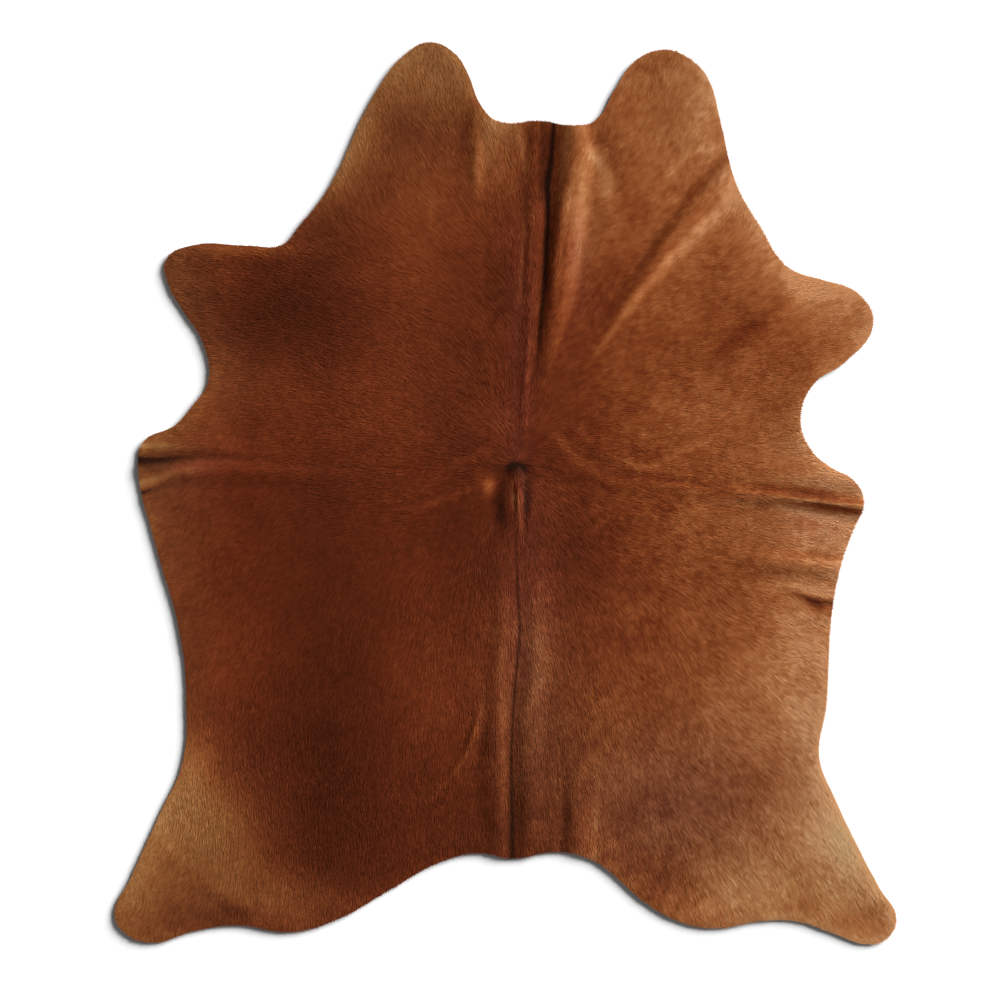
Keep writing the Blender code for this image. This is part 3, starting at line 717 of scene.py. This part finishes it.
# ---------------------------------------------------------------- small helpers


def deselect_all():
    for thing in bpy.context.view_layer.objects:
        thing.select_set(False)


def make_active(thing):
    deselect_all()
    thing.select_set(True)
    bpy.context.view_layer.objects.active = thing


def apply_modifiers(thing):
    make_active(thing)
    for modifier in list(thing.modifiers):
        bpy.ops.object.modifier_apply(modifier=modifier.name)


def mesh_places(mesh):
    """The mesh's points as an array with a row of x, y and z for each."""
    places = np.zeros(len(mesh.vertices) * 3, np.float32)
    mesh.vertices.foreach_get("co", places)
    return places.reshape(-1, 3).astype(float)


def store(mesh, name, values, kind="FLOAT", field="value"):
    """Keeps a value for each of the mesh's points under that name."""
    attribute = mesh.attributes.new(name, kind, "POINT")
    attribute.data.foreach_set(field, np.asarray(values, np.float32).ravel())


# ---------------------------------------------------------------- the hide's fields


def resampled(rows):
    """The rows with smooth ones between them, so that a band curves and doesn't bend."""
    rows = np.vstack([2 * rows[0] - rows[1], rows, 2 * rows[-1] - rows[-2]])
    step = np.linspace(0, 1, BAND_STEPS, endpoint=False)[:, None]
    smooth = [
        b + 0.5 * ((c - a) * step + (2 * a - 5 * b + 4 * c - d) * step**2 + (3 * b - a - 3 * c + d) * step**3)
        for a, b, c, d in zip(rows, rows[1:], rows[2:], rows[3:])
    ]
    return np.vstack([*smooth, rows[-2:-1]])


def band(stations, places, height_unit):
    """A soft band along the stations: its height at each place, and nought past its reach."""
    rows = resampled(np.array(stations) / (MM, MM, height_unit, MM, MM))
    reach = rows[:, 3:].max()
    low, high = rows[:, :2].min(axis=0) - reach, rows[:, :2].max(axis=0) + reach
    near = np.flatnonzero(((places > low) & (places < high)).all(axis=1))
    heights = np.zeros(len(places))
    for start, end in zip(rows, rows[1:]):
        run = end[:2] - start[:2]
        from_start = places[near] - start[:2]
        along = np.clip(from_start @ run / (run @ run), 0, 1)
        away = from_start - along[:, None] * run
        on_left = run[0] * away[:, 1] - run[1] * away[:, 0] > 0
        _, _, height, left, right = (start + along[:, None] * (end - start)).T
        part_way = np.minimum(np.hypot(*away.T) / np.where(on_left, left, right), 1)
        here = height * (0.5 + 0.5 * np.cos(math.pi * part_way))
        heights[near] = np.where(abs(here) > abs(heights[near]), here, heights[near])
    return heights


def bands(table, places, height_unit=1):
    """All the bands of a table together, where height_unit turns the rows' heights to metres."""
    return sum((band(rows, places, height_unit) for rows in table.values()), np.zeros(len(places)))


def swell(places, height):
    """Low unevenness, nought to its height, from a few slow waves that cross."""
    x, y = places.T
    waves = np.sin(9.1 * x + 3.3 * y + 0.6) + np.sin(-5.2 * x + 11.7 * y + 2.1)
    waves += np.sin(17.3 * x - 13.1 * y + 4.0) + 0.7 * np.sin(23.0 * x + 26.5 * y + 1.3)
    return height * np.clip(0.25 * waves, 0, 1)


def patch(row, places):
    """One soft patch: its strength in the middle, and less and less away from there."""
    x, y, reach_across, reach_along, turn, strength = row
    turn = math.radians(turn)
    x, y = places[:, 0] - x / MM, places[:, 1] - y / MM
    across = (x * math.cos(turn) + y * math.sin(turn)) / (reach_across / MM)
    along = (y * math.cos(turn) - x * math.sin(turn)) / (reach_along / MM)
    return strength * np.exp(-(across**2 + along**2))


def patches(table, places):
    """All the patches of a table together."""
    return sum(patch(row, places) for row in table.values())


def along_x(stops, places):
    """A value that changes from flank to flank, read between the stops."""
    stops = np.array(stops)
    return np.interp(places[:, 0], stops[:, 0] / MM, stops[:, 1])


def coat_tone_and_painted_light(places):
    """How light the coat is at each place, from nought to one, painted light and shade included."""
    tone = along_x(FLANK_TONES_AND_LIGHT, places)
    for row in TONE_AND_LIGHT_PATCHES.values():
        tone += patch(row, places)
    return tone + bands(TONE_AND_LIGHT_STROKES, places)


def hair_lie(places):
    """The direction in which the hair lies at each place, blended from the combing."""
    lie = np.zeros((len(places), 2))
    for x, y, heading in COMBING.values():
        away = np.hypot(places[:, 0] - x / MM, places[:, 1] - y / MM)
        weight = 1 / (away**2 + LIE_REACH**2) ** 1.5
        heading = math.radians(heading)
        lie += weight[:, None] * [math.cos(heading), math.sin(heading)]
    x, y = places.T
    waver = 0.10 * np.sin(31 * x + 17 * y) + 0.08 * np.sin(-23 * x + 41 * y + 1.0)
    turned = np.arctan2(lie[:, 1], lie[:, 0]) + waver
    return np.stack([np.cos(turned), np.sin(turned), np.zeros(len(places))], axis=1)


def rim_distance(mesh, places):
    """How far each place is from the hide's cut edge."""
    cut = [face for face in mesh.polygons if face.material_index == CUT_EDGE]
    rim = sorted({index for face in cut for index in face.vertices})
    tree = kdtree.KDTree(len(rim))
    for index in rim:
        tree.insert((*places[index, :2], 0), index)
    tree.balance()
    return np.array([tree.find((x, y, 0))[2] for x, y in places[:, :2]])


# ---------------------------------------------------------------- materials


def node(tree, kind, **settings):
    """A new node in the tree, with its settings."""
    made = tree.nodes.new(kind)
    for name, value in settings.items():
        setattr(made, name, value)
    return made


def feed(tree, socket, value):
    """Links a socket to another node's output, or sets it to a plain value."""
    if isinstance(value, bpy.types.NodeSocket):
        tree.links.new(value, socket)
    else:
        socket.default_value = value


def maths(tree, operation, first, second, clamp=False):
    """The sum, product or the like of two sockets or numbers."""
    made = node(tree, "ShaderNodeMath", operation=operation, use_clamp=clamp)
    feed(tree, made.inputs[0], first)
    feed(tree, made.inputs[1], second)
    return made.outputs[0]


def noise(tree, scale, detail, coordinates=None):
    """Noise from nought to one, round a half."""
    made = node(tree, "ShaderNodeTexNoise")
    feed(tree, made.inputs["Scale"], scale)
    made.inputs["Detail"].default_value = detail
    if coordinates is not None:
        tree.links.new(coordinates, made.inputs["Vector"])
    return made.outputs["Fac"]


def uneven(tree, layer, coordinates=None):
    """One layer of mottling, lighter and darker by up to half its strength."""
    scale, detail, strength = layer
    about_nought = maths(tree, "SUBTRACT", noise(tree, scale, detail, coordinates), 0.5)
    return maths(tree, "MULTIPLY", about_nought, strength)


def mix(tree, factor, first, second, blend="MIX"):
    """The first colour blended with the second, as far as the factor says."""
    made = node(tree, "ShaderNodeMix", data_type="RGBA", blend_type=blend, clamp_result=blend != "MIX")
    feed(tree, made.inputs["Factor"], factor)
    feed(tree, made.inputs["A"], first)
    feed(tree, made.inputs["B"], second)
    return made.outputs["Result"]


def new_group(name, inputs, outputs):
    """A new shader group with number inputs, and its two ends."""
    group = bpy.data.node_groups.new(name, "ShaderNodeTree")
    for socket_name, default in inputs.items():
        socket = group.interface.new_socket(socket_name, in_out="INPUT", socket_type="NodeSocketFloat")
        socket.default_value = default
    for socket_name, kind in outputs.items():
        group.interface.new_socket(socket_name, in_out="OUTPUT", socket_type=kind)
    return group, node(group, "NodeGroupInput").outputs, node(group, "NodeGroupOutput").inputs


def coat_colour_group():
    """Turns tone, painted light and shade, fading, dust and painted crease shade into the coat's colour."""
    group, given, result = new_group(
        "coat colour",
        {"Tone": 0.3, "Lock": 0, "Crease Shade": 0, "Mottle": 0.5, "Depth": 0, "Faded": 0, "Dusty": 0},
        {"Colour": "NodeSocketColor"},
    )
    place = node(group, "ShaderNodeTexCoord").outputs["Object"]
    both = maths(group, "ADD", uneven(group, CLOUDS, place), uneven(group, SPECKS, place))
    mottle = maths(group, "MULTIPLY", both, given["Mottle"])
    tone = maths(group, "ADD", given["Tone"], maths(group, "ADD", mottle, given["Lock"]))
    # Painted shade between the locks: the skin under the coat is made darker.
    tone = maths(group, "SUBTRACT", tone, given["Depth"])
    ramp = node(group, "ShaderNodeValToRGB")
    stops = ramp.color_ramp.elements
    stops[0].position, stops[1].position = COAT_RAMP[0][0], COAT_RAMP[-1][0]
    stops[0].color, stops[1].color = (*COAT_RAMP[0][1], 1), (*COAT_RAMP[-1][1], 1)
    for position, colour in COAT_RAMP[1:-1]:
        stops.new(position).color = (*colour, 1)
    group.links.new(tone, ramp.inputs[0])
    bleached = mix(group, given["Faded"], ramp.outputs["Color"], BLEACH, "MULTIPLY")
    dusty = mix(group, given["Dusty"], bleached, DUST, "MULTIPLY")
    # Painted shade: the hair in the creases is darkened to near black.
    group.links.new(mix(group, given["Crease Shade"], dusty, CREASE_SHADE_COLOUR), result["Colour"])
    return group


def leather_grain_group():
    """The mottled tan of plain leather, and the bumps of its nap or fibres."""
    group, given, result = new_group(
        "leather grain", {"Nap": 0.002}, {"Mottle": "NodeSocketFloat", "Normal": "NodeSocketVector"}
    )
    place = node(group, "ShaderNodeTexCoord").outputs["Object"]
    group.links.new(noise(group, 22, 5, place), result["Mottle"])
    bump = node(group, "ShaderNodeBump")
    bump.inputs["Strength"].default_value = 0.5
    group.links.new(given["Nap"], bump.inputs["Distance"])
    group.links.new(noise(group, maths(group, "DIVIDE", 1, given["Nap"]), 4, place), bump.inputs["Height"])
    group.links.new(bump.outputs["Normal"], result["Normal"])
    return group


def new_material(name, group_name, make_group):
    """A new material with its surface and, beside it, the shared group, made on its first use."""
    material = bpy.data.materials.new(name)
    material.use_nodes = True
    tree = material.node_tree
    group = bpy.data.node_groups.get(group_name) or make_group()
    return material, tree, tree.nodes["Principled BSDF"], node(tree, "ShaderNodeGroup", node_tree=group)


def coat_material(name, depth, roughness, shine, has_locks):
    """Hair, coloured by what is stored on its mesh."""
    material, tree, surface, colour = new_material(name, "coat colour", coat_colour_group)
    stored = {"tone": "Tone", "faded": "Faded", "dusty": "Dusty", "mottle": "Mottle", "crease_shade": "Crease Shade"}
    if has_locks:
        stored["lock_tone"] = "Lock"
    for attribute, socket in stored.items():
        value = node(tree, "ShaderNodeAttribute", attribute_name=attribute).outputs["Fac"]
        tree.links.new(value, colour.inputs[socket])
    colour.inputs["Depth"].default_value = depth
    tree.links.new(colour.outputs["Colour"], surface.inputs["Base Color"])
    surface.inputs["Roughness"].default_value = roughness
    surface.inputs["Specular IOR Level"].default_value = shine
    surface.inputs["Specular Tint"].default_value = GLOSS_COLOUR
    return material


def leather_material(name, colour, nap):
    """Plain tanned leather, with a nap or fibres of the given size and a mottled tan."""
    material, tree, surface, grain = new_material(name, "leather grain", leather_grain_group)
    grain.inputs["Nap"].default_value = nap
    dark, light = ([min(share * value, 1) for value in colour[:3]] + [1] for share in LEATHER_MOTTLE)
    tan = mix(tree, grain.outputs["Mottle"], dark, light)
    tree.links.new(tan, surface.inputs["Base Color"])
    tree.links.new(grain.outputs["Normal"], surface.inputs["Normal"])
    surface.inputs["Roughness"].default_value = 0.85
    return material


# ---------------------------------------------------------------- the skin


def outline_block():
    """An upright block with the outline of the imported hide, to cut the skin with."""
    block = bpy.data.objects.new("outline_block", frame["nodes"]["hide"].data.copy())
    bpy.context.scene.collection.objects.link(block)
    make_active(block)
    bpy.ops.object.mode_set(mode="EDIT")
    bpy.ops.mesh.select_all(action="SELECT")
    bpy.ops.mesh.remove_doubles(threshold=MERGE_DISTANCE)
    bpy.ops.object.mode_set(mode="OBJECT")
    for face in block.data.polygons:
        face.select = face.normal.z < FACES_UP
    bpy.context.tool_settings.mesh_select_mode = (False, False, True)
    bpy.ops.object.mode_set(mode="EDIT")
    bpy.ops.mesh.delete(type="FACE")
    bpy.ops.mesh.select_all(action="SELECT")
    bpy.ops.transform.resize(value=(1, 1, 0), center_override=(0, 0, BLOCK_BASE))
    bpy.ops.mesh.dissolve_limited(angle_limit=math.radians(BLOCK_FLATNESS))
    bpy.ops.mesh.select_all(action="SELECT")
    bpy.ops.mesh.extrude_region_move(TRANSFORM_OT_translate={"value": (0, 0, BLOCK_HEIGHT)})
    bpy.ops.mesh.select_all(action="SELECT")
    bpy.ops.mesh.normals_make_consistent(inside=False)
    bpy.ops.object.mode_set(mode="OBJECT")
    return block


def flat_skin(settings):
    """The skin before it is folded: a fine grid with the leather's thickness, cut out."""
    size = SOLID_HIGH - SOLID_LOW
    wide, long = size.x + 2 * GRID_MARGIN, size.y + 2 * GRID_MARGIN
    deselect_all()
    bpy.ops.mesh.primitive_grid_add(
        x_subdivisions=round(wide / settings.cell), y_subdivisions=round(long / settings.cell), size=1
    )
    skin = bpy.context.object
    skin.name = "cowhide_skin"
    skin.scale = (wide, long, 1)
    bpy.ops.object.transform_apply(location=False, rotation=False, scale=True)
    depth = skin.modifiers.new("leather", "SOLIDIFY")
    depth.thickness = settings.leather
    depth.offset = 1
    block = outline_block()
    cut = skin.modifiers.new("outline", "BOOLEAN")
    cut.operation = "INTERSECT"
    cut.solver = "MANIFOLD"
    cut.object = block
    apply_modifiers(skin)
    bpy.data.objects.remove(block)
    return skin


def sort_sides(skin):
    """Gives the hair side, the flesh side and the cut edge their own material slots."""
    for face in skin.data.polygons:
        if face.normal.z > FACES_UP:
            face.material_index = HAIR_SIDE
        elif face.normal.z < -FACES_UP:
            face.material_index = FLESH_SIDE
        else:
            face.material_index = CUT_EDGE


def colour_places(mesh, rim):
    """Stores each point's tone and painted light and shade, fading, dust, mottle and painted crease shade."""
    ground = mesh_places(mesh)[:, :2]
    fields = {
        # tone, with the painted light and shade of the strokes, the patches and the flank tones
        "tone": coat_tone_and_painted_light(ground) + RIM_TONE * np.exp(-((rim / RIM_REACH) ** 2)),
        "faded": patches(FADED, ground),
        "dusty": patches(DUSTY, ground),
        "mottle": along_x(MOTTLING, ground),
        # painted shade in the depth of the creases
        "crease_shade": np.clip(bands(CREASE_SHADE, ground), 0, 1),
    }
    for name, values in fields.items():
        if name in mesh.attributes:
            mesh.attributes.remove(mesh.attributes[name])
        store(mesh, name, values)


def dress_skin(skin, settings):
    """Stores the coat's colour, lie and room on the skin, and raises its folds and its rim."""
    mesh = skin.data
    places = mesh_places(mesh)
    ground = places[:, :2]
    rim = rim_distance(mesh, places)
    colour_places(mesh, rim)
    store(mesh, "lie", hair_lie(ground), "FLOAT_VECTOR", "vector")
    store(mesh, "rim", rim)
    lift = RIM_LIFT * np.clip(1 - patches(RIM_DOWN, ground), 0, 1) * np.exp(-((rim / RIM_ROLL) ** 2))
    places[:, 2] += np.hypot(bands(FOLDS, ground, MM), lift) + swell(ground, settings.swell)
    mesh.vertices.foreach_set("co", places.astype(np.float32).ravel())
    mesh.update()


class HIDE_OT_skin(bpy.types.Operator):
    """Builds the tanned skin with its folds"""

    bl_idname = "cowhide.skin"
    bl_label = "Skin"

    def execute(self, context):
        settings = context.scene.cowhide_skin
        skin = flat_skin(settings)
        skin.data.materials.clear()
        for material in (
            # the skin's hair side, painted darker between the locks as painted shade
            coat_material("undercoat", depth=UNDERCOAT_SHADE, roughness=0.8, shine=0.05, has_locks=False),
            leather_material("flesh side", settings.flesh_colour, nap=0.002),
            leather_material("cut edge", settings.edge_colour, nap=0.001),
        ):
            skin.data.materials.append(material)
        sort_sides(skin)
        dress_skin(skin, settings)
        make_active(skin)
        bpy.ops.object.shade_smooth_by_angle(angle=math.radians(SHARP_ANGLE))
        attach(skin, "root")
        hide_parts("hide")
        return {"FINISHED"}


# ---------------------------------------------------------------- the coat


def lock_of_hair(settings):
    """A slim closed lock that lies along +X with its root at the origin."""
    deselect_all()
    bpy.ops.mesh.primitive_cone_add(vertices=3, radius1=1, radius2=0, depth=1)
    lock = bpy.context.object
    lock.name = "lock"
    lock.data.transform(Matrix.Rotation(math.pi / 2, 4, "Y") @ Matrix.Rotation(math.pi / 2, 4, "Z"))
    low = min(corner.co.z for corner in lock.data.vertices)
    half = max(corner.co.y for corner in lock.data.vertices)
    tall = max(corner.co.z for corner in lock.data.vertices) - low
    lock.data.transform(Matrix.Translation((0.5, 0, -low)))
    size = Vector((settings.length, settings.width / 2 / half, settings.height / tall))
    lock.data.transform(Matrix.Diagonal((*size, 1)))
    return lock


def live(sockets):
    """The sockets that show, of those that a node has for all its kinds of data."""
    return [socket for socket in sockets if socket.enabled]


def stored_value(tree, name, kind="FLOAT"):
    """What is stored under that name at each root."""
    value = node(tree, "GeometryNodeInputNamedAttribute", data_type=kind)
    value.inputs["Name"].default_value = name
    return live(value.outputs)[0]


def draw(tree, seed, low, high, offset, kind="FLOAT"):
    """A random value for each lock, with its own offset so that no two draws are alike."""
    value = node(tree, "FunctionNodeRandomValue", data_type=kind)
    least, most = live(value.inputs)[:2]
    least.default_value, most.default_value = low, high
    tree.links.new(maths(tree, "ADD", seed, offset), value.inputs["Seed"])
    return live(value.outputs)[0]


def laid_along_skin(tree, normal, seed):
    """How each lock is turned: upright on the skin, combed along its lie and ruffled a little."""
    link = tree.links.new
    upright = node(tree, "FunctionNodeAlignRotationToVector", axis="Z")
    link(normal, upright.inputs["Vector"])
    combed = node(tree, "FunctionNodeAlignRotationToVector", axis="X", pivot_axis="Z")
    link(upright.outputs["Rotation"], combed.inputs["Rotation"])
    link(stored_value(tree, "lie", "FLOAT_VECTOR"), combed.inputs["Vector"])
    ruffle = node(tree, "FunctionNodeEulerToRotation")
    link(draw(tree, seed, *LOCK_TURNS, 1, "FLOAT_VECTOR"), ruffle.inputs["Euler"])
    laid = node(tree, "FunctionNodeRotateRotation", rotation_space="LOCAL")
    link(combed.outputs["Rotation"], laid.inputs["Rotation"])
    link(ruffle.outputs["Rotation"], laid.inputs["Rotate By"])
    return laid.outputs["Rotation"]


def lock_size(tree, settings, seed):
    """The lock's length and width as shares. A lock near the rim is short, so as not to overhang."""
    room = maths(tree, "ADD", stored_value(tree, "rim"), settings.overhang)
    share = maths(tree, "DIVIDE", room, settings.length * ROOM, clamp=True)
    size = node(tree, "ShaderNodeCombineXYZ")
    length = maths(tree, "MULTIPLY", share, draw(tree, seed, *LOCK_LENGTHS, 2))
    tree.links.new(length, size.inputs["X"])
    tree.links.new(draw(tree, seed, *LOCK_WIDTHS, 3), size.inputs["Y"])
    size.inputs["Z"].default_value = 1
    return size.outputs["Vector"]


def coat_nodes(settings, lock):
    """Geometry nodes that root locks over a skin, lay them along its lie and realize them."""
    tree = bpy.data.node_groups.new("coat", "GeometryNodeTree")
    tree.interface.new_socket("Skin", in_out="INPUT", socket_type="NodeSocketGeometry")
    tree.interface.new_socket("Seed", in_out="INPUT", socket_type="NodeSocketInt")
    tree.interface.new_socket("Coat", in_out="OUTPUT", socket_type="NodeSocketGeometry")
    link = tree.links.new
    given = node(tree, "NodeGroupInput").outputs
    result = node(tree, "NodeGroupOutput").inputs

    roots = node(tree, "GeometryNodeDistributePointsOnFaces", distribute_method="POISSON")
    roots.inputs["Distance Min"].default_value = settings.spacing
    roots.inputs["Density Max"].default_value = 2 / settings.spacing**2
    link(given["Skin"], roots.inputs["Mesh"])
    link(given["Seed"], roots.inputs["Seed"])

    source = node(tree, "GeometryNodeObjectInfo")
    source.inputs["Object"].default_value = lock
    rooted = node(tree, "GeometryNodeInstanceOnPoints")
    link(roots.outputs["Points"], rooted.inputs["Points"])
    link(source.outputs["Geometry"], rooted.inputs["Instance"])
    link(laid_along_skin(tree, roots.outputs["Normal"], given["Seed"]), rooted.inputs["Rotation"])
    link(lock_size(tree, settings, given["Seed"]), rooted.inputs["Scale"])

    own = node(tree, "GeometryNodeStoreNamedAttribute", data_type="FLOAT", domain="INSTANCE")
    own.inputs["Name"].default_value = "lock_tone"
    link(rooted.outputs["Instances"], own.inputs["Geometry"])
    clumps = maths(tree, "MULTIPLY", uneven(tree, CLUMPS), stored_value(tree, "mottle"))
    stray = draw(tree, given["Seed"], -STRAY_TONE, STRAY_TONE, 4)
    tone = maths(tree, "ADD", clumps, stray)
    link(tone, next(socket for socket in live(own.inputs) if socket.name == "Value"))
    real = node(tree, "GeometryNodeRealizeInstances")
    link(own.outputs["Geometry"], real.inputs["Geometry"])
    link(real.outputs["Geometry"], result["Coat"])
    return tree


def rooted_part(skin, name, low, high):
    """A copy of the skin's hair side where the middles of its faces lie in the box."""
    part = skin.copy()
    part.data = skin.data.copy()
    part.name = name
    bpy.context.scene.collection.objects.link(part)
    for face in part.data.polygons:
        x, y, _ = face.center
        kept = low[0] < x <= high[0] and low[1] < y <= high[1] and face.material_index == HAIR_SIDE
        face.select = not kept
    make_active(part)
    bpy.ops.object.mode_set(mode="EDIT")
    bpy.ops.mesh.delete(type="FACE")
    bpy.ops.object.mode_set(mode="OBJECT")
    return part


def colour_coat(mesh):
    """Stores the coat's colour again, read at each lock's own points and not at its root."""
    rim = np.zeros(len(mesh.vertices), np.float32)
    mesh.attributes["rim"].data.foreach_get("value", rim)
    for used in ("lie", "rim"):
        mesh.attributes.remove(mesh.attributes[used])
    colour_places(mesh, rim)


def lay_out_coat(mesh):
    """A map of the coat seen from above, so that each lock keeps its own place's colour."""
    corners = np.zeros(len(mesh.loops), np.int32)
    mesh.loops.foreach_get("vertex_index", corners)
    places = mesh_places(mesh)[:, :2]
    low, high = places.min(axis=0), places.max(axis=0)
    flat = (places - low) / (high - low)
    layer = mesh.uv_layers.new(name="OFBake")
    layer.data.foreach_set("uv", flat[corners].astype(np.float32).ravel())


class HIDE_OT_coat(bpy.types.Operator):
    """Roots the short coat on the skin, in several pieces"""

    bl_idname = "cowhide.coat"
    bl_label = "Coat"

    def execute(self, context):
        settings = context.scene.cowhide_coat
        skin = bpy.data.objects["cowhide_skin"]
        lock = lock_of_hair(settings)
        nodes = coat_nodes(settings, lock)
        material = coat_material("hair", depth=0.0, roughness=0.6, shine=0.1, has_locks=True)
        for count, (name, (low, high)) in enumerate(COAT_PARTS.items()):
            part = rooted_part(skin, name, low, high)
            grown = part.modifiers.new("coat", "NODES")
            grown.node_group = nodes
            grown["Socket_1"] = settings.seed + SEED_STEP * count
            apply_modifiers(part)
            part.data.materials.clear()
            part.data.materials.append(material)
            part.data.polygons.foreach_set("material_index", np.zeros(len(part.data.polygons), np.int32))
            colour_coat(part.data)
            lay_out_coat(part.data)
            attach(part, "root")
        bpy.data.objects.remove(lock)
        return {"FINISHED"}


# ---------------------------------------------------------------- the stage


def lay_floor(settings):
    deselect_all()
    bpy.ops.mesh.primitive_plane_add(size=FLOOR_SIZE, location=(0, 0, -FLOOR_DROP))
    floor = bpy.context.object
    floor.name = "floor"
    paint = bpy.data.materials.new("floor")
    paint.use_nodes = True
    surface = paint.node_tree.nodes["Principled BSDF"]
    surface.inputs["Base Color"].default_value = settings.floor_colour
    surface.inputs["Roughness"].default_value = 0.9
    floor.data.materials.append(paint)


def light_hide(settings):
    """A broad low light from one side, and a faint one from all round with a white backdrop."""
    bpy.ops.object.light_add(type="SUN", location=(3, 3, 3))
    sun = bpy.context.object
    sun.name = "key_light"
    sun.data.energy = settings.key
    sun.data.angle = math.radians(settings.width)
    around = math.radians(settings.around)
    towards = Vector((math.cos(around), math.sin(around), math.tan(math.radians(settings.height))))
    sun.rotation_euler = towards.to_track_quat("Z", "Y").to_euler()

    world = bpy.data.worlds.new("sky")
    bpy.context.scene.world = world
    world.use_nodes = True
    backdrop = world.node_tree.nodes["Background"]
    backdrop.inputs["Color"].default_value = (1, 1, 1, 1)
    seen = node(world.node_tree, "ShaderNodeLightPath").outputs["Is Camera Ray"]
    strength = maths(world.node_tree, "MAXIMUM", seen, settings.sky)
    world.node_tree.links.new(strength, backdrop.inputs["Strength"])
    bpy.context.scene.view_settings.view_transform = "Standard"


def place_camera():
    bpy.ops.object.camera_add(location=CAMERA_PLACE, rotation=(0, 0, 0))
    camera = bpy.context.object
    camera.name = "camera"
    camera.data.sensor_width = SENSOR
    camera.data.lens = SENSOR * CAMERA_PLACE[2] / VIEW_WIDTH
    camera.data.clip_end = 100
    bpy.context.scene.camera = camera


class HIDE_OT_stage(bpy.types.Operator):
    """Sets the pale floor, the soft light and the camera straight above"""

    bl_idname = "cowhide.stage"
    bl_label = "Stage"

    def execute(self, context):
        settings = context.scene.cowhide_stage
        lay_floor(settings)
        light_hide(settings)
        place_camera()
        return {"FINISHED"}


# ---------------------------------------------------------------- the add-on


class HIDE_PT_panel(bpy.types.Panel):
    """Lists what builds the hide, each with its settings"""

    bl_idname = "HIDE_PT_panel"
    bl_label = "Cowhide"
    bl_space_type = "VIEW_3D"
    bl_region_type = "UI"
    bl_category = "Cowhide"

    def draw(self, context):
        for operator, settings in (
            ("cowhide.skin", context.scene.cowhide_skin),
            ("cowhide.coat", context.scene.cowhide_coat),
            ("cowhide.stage", context.scene.cowhide_stage),
        ):
            self.layout.operator(operator)
            for name in settings.__annotations__:
                self.layout.prop(settings, name)


SETTINGS = {
    "cowhide_skin": HideSkinSettings,
    "cowhide_coat": HideCoatSettings,
    "cowhide_stage": HideStageSettings,
}
CLASSES = [*SETTINGS.values(), HIDE_OT_skin, HIDE_OT_coat, HIDE_OT_stage, HIDE_PT_panel]


def register():
    for cls in CLASSES:
        bpy.utils.register_class(cls)
    for name, group in SETTINGS.items():
        setattr(bpy.types.Scene, name, PointerProperty(type=group))


def unregister():
    for name in SETTINGS:
        delattr(bpy.types.Scene, name)
    for cls in reversed(CLASSES):
        bpy.utils.unregister_class(cls)


def main():
    register()
    bpy.ops.cowhide.skin()
    bpy.ops.cowhide.coat()
    bpy.ops.cowhide.stage()


if __name__ == "__main__":
    main()
